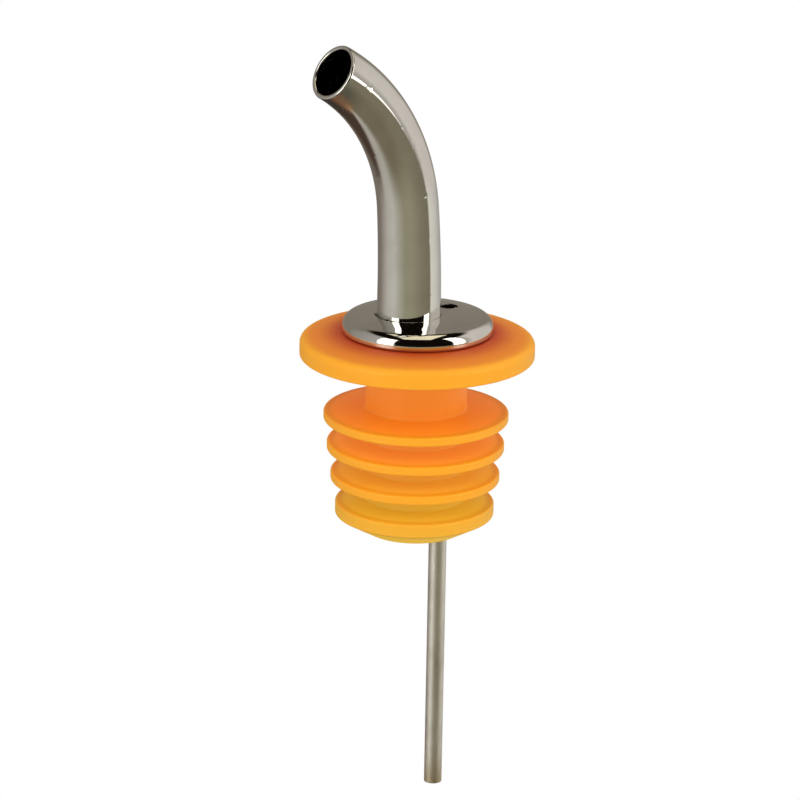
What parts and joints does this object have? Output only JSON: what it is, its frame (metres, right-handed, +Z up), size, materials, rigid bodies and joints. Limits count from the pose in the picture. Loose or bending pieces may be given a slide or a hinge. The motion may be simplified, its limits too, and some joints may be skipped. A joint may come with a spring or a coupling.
{
  "type": "liquor pour spout",
  "caption": "Bent chromed pouring tube with a collar and a straight breather tube, swivelling in a finned plastic bottle stopper.",
  "frame": {"origin": "centre of the flange's underside, where the stopper rests on the bottle's rim", "axes": "+Z up the stopper's axis towards the spout, -X the way the spout points, XZ the plane of its bend"},
  "size_m": [0.0326, 0.0322, 0.1084],
  "materials": {
    "stopper_plastic": "slightly translucent orange polyethylene with soft moulded edges",
    "bright_chrome": "bright polished chrome plate",
    "plated_barrel": "thin plate over drawn metal, less polished",
    "dull_tube": "drawn tube, dull grey, slightly browned at the cut end",
    "solder": "dull cast solder"
  },
  "bodies": {
    "stopper_body": {"stopper": "stopper_plastic"},
    "pourer": {"collar": "bright_chrome", "barrel": "plated_barrel", "spout_tube": "bright_chrome", "vent_tube": "dull_tube", "spout_solder": "solder", "vent_solder": "solder", "barrel_solder": "solder"}
  },
  "joints": [
    {"name": "spout_swivel", "type": "hinge", "parent": "stopper_body", "child": "pourer", "pos_m": [0, 0, 0], "axis": [0, 0, 1], "continuous": true}
  ]
}
